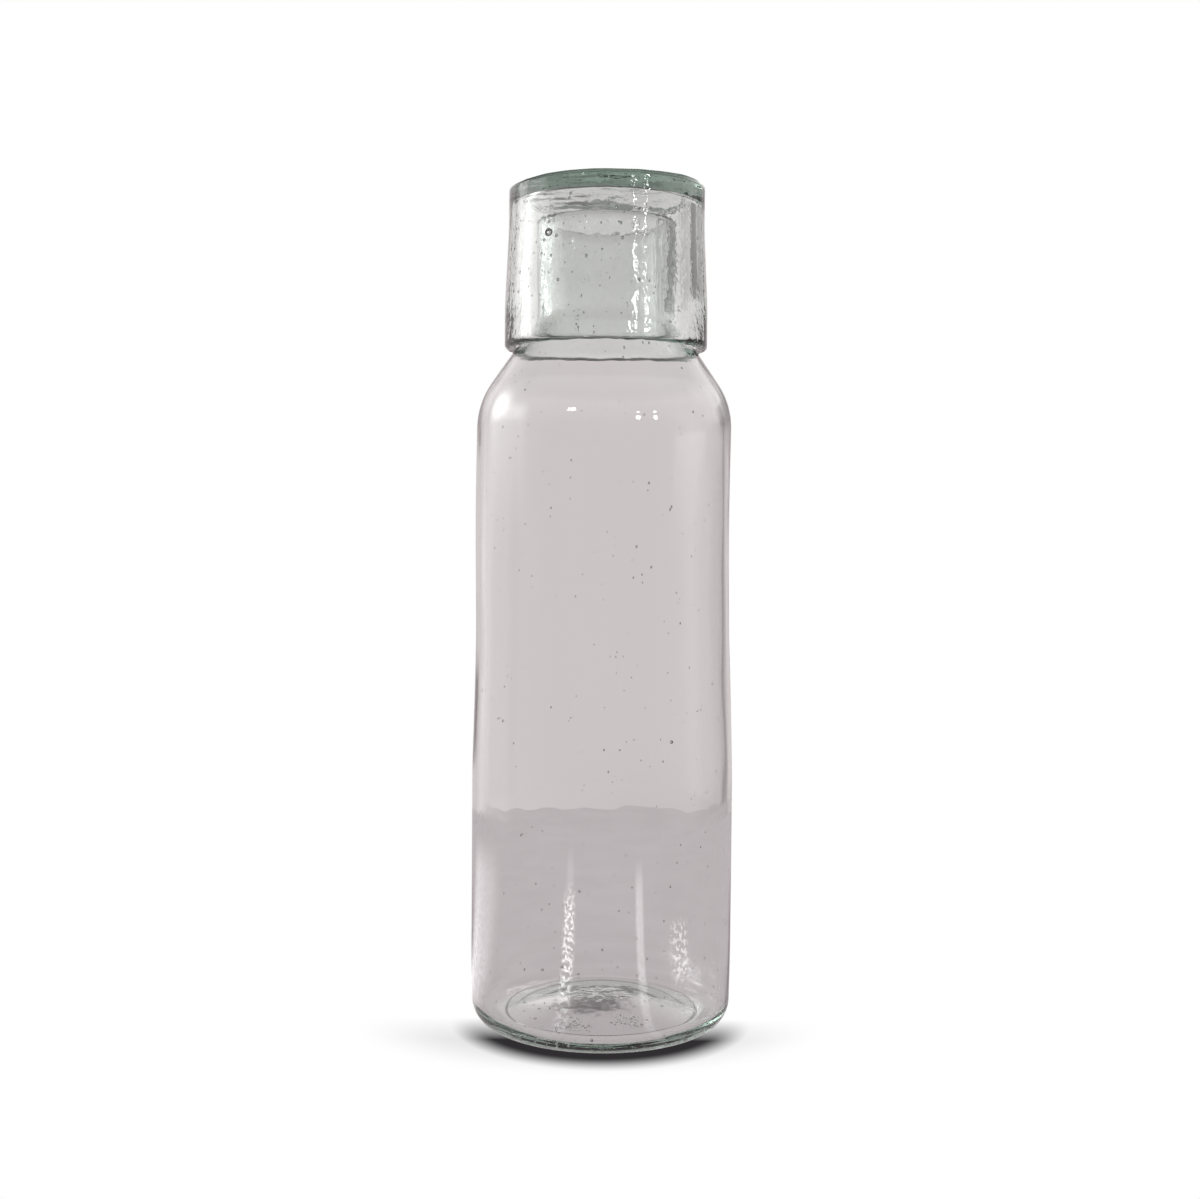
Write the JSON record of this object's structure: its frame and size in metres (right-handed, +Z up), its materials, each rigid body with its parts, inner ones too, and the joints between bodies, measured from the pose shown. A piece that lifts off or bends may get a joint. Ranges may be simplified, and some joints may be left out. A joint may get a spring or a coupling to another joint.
{
  "type": "bedside carafe with tumbler",
  "caption": "Tall cylindrical glass water carafe with a sloping shoulder, straight neck and pushed-up base, covered by an upturned heavy-footed tumbler that rests on the shoulder.",
  "frame": {"origin": "centre of the flat ring that the carafe stands on", "axes": "+Z up along the common axis of the carafe and the tumbler; X and Y are alike, because both pieces are round"},
  "size_m": [0.0808, 0.0808, 0.2595],
  "materials": {
    "carafe_glass": "clear hand-blown recycled glass, faint grey-green tint, seeded with tiny bubbles",
    "tumbler_glass": "clear hand-blown recycled glass, green where it is thick, seeded with tiny bubbles"
  },
  "bodies": {
    "carafe": {"carafe": "carafe_glass"},
    "tumbler": {"tumbler": "tumbler_glass"}
  },
  "joints": [
    {"name": "tumbler_lift", "type": "slide", "parent": "carafe", "child": "tumbler", "axis": [0, 0, 1], "range_m": [0, 0.1]}
  ]
}
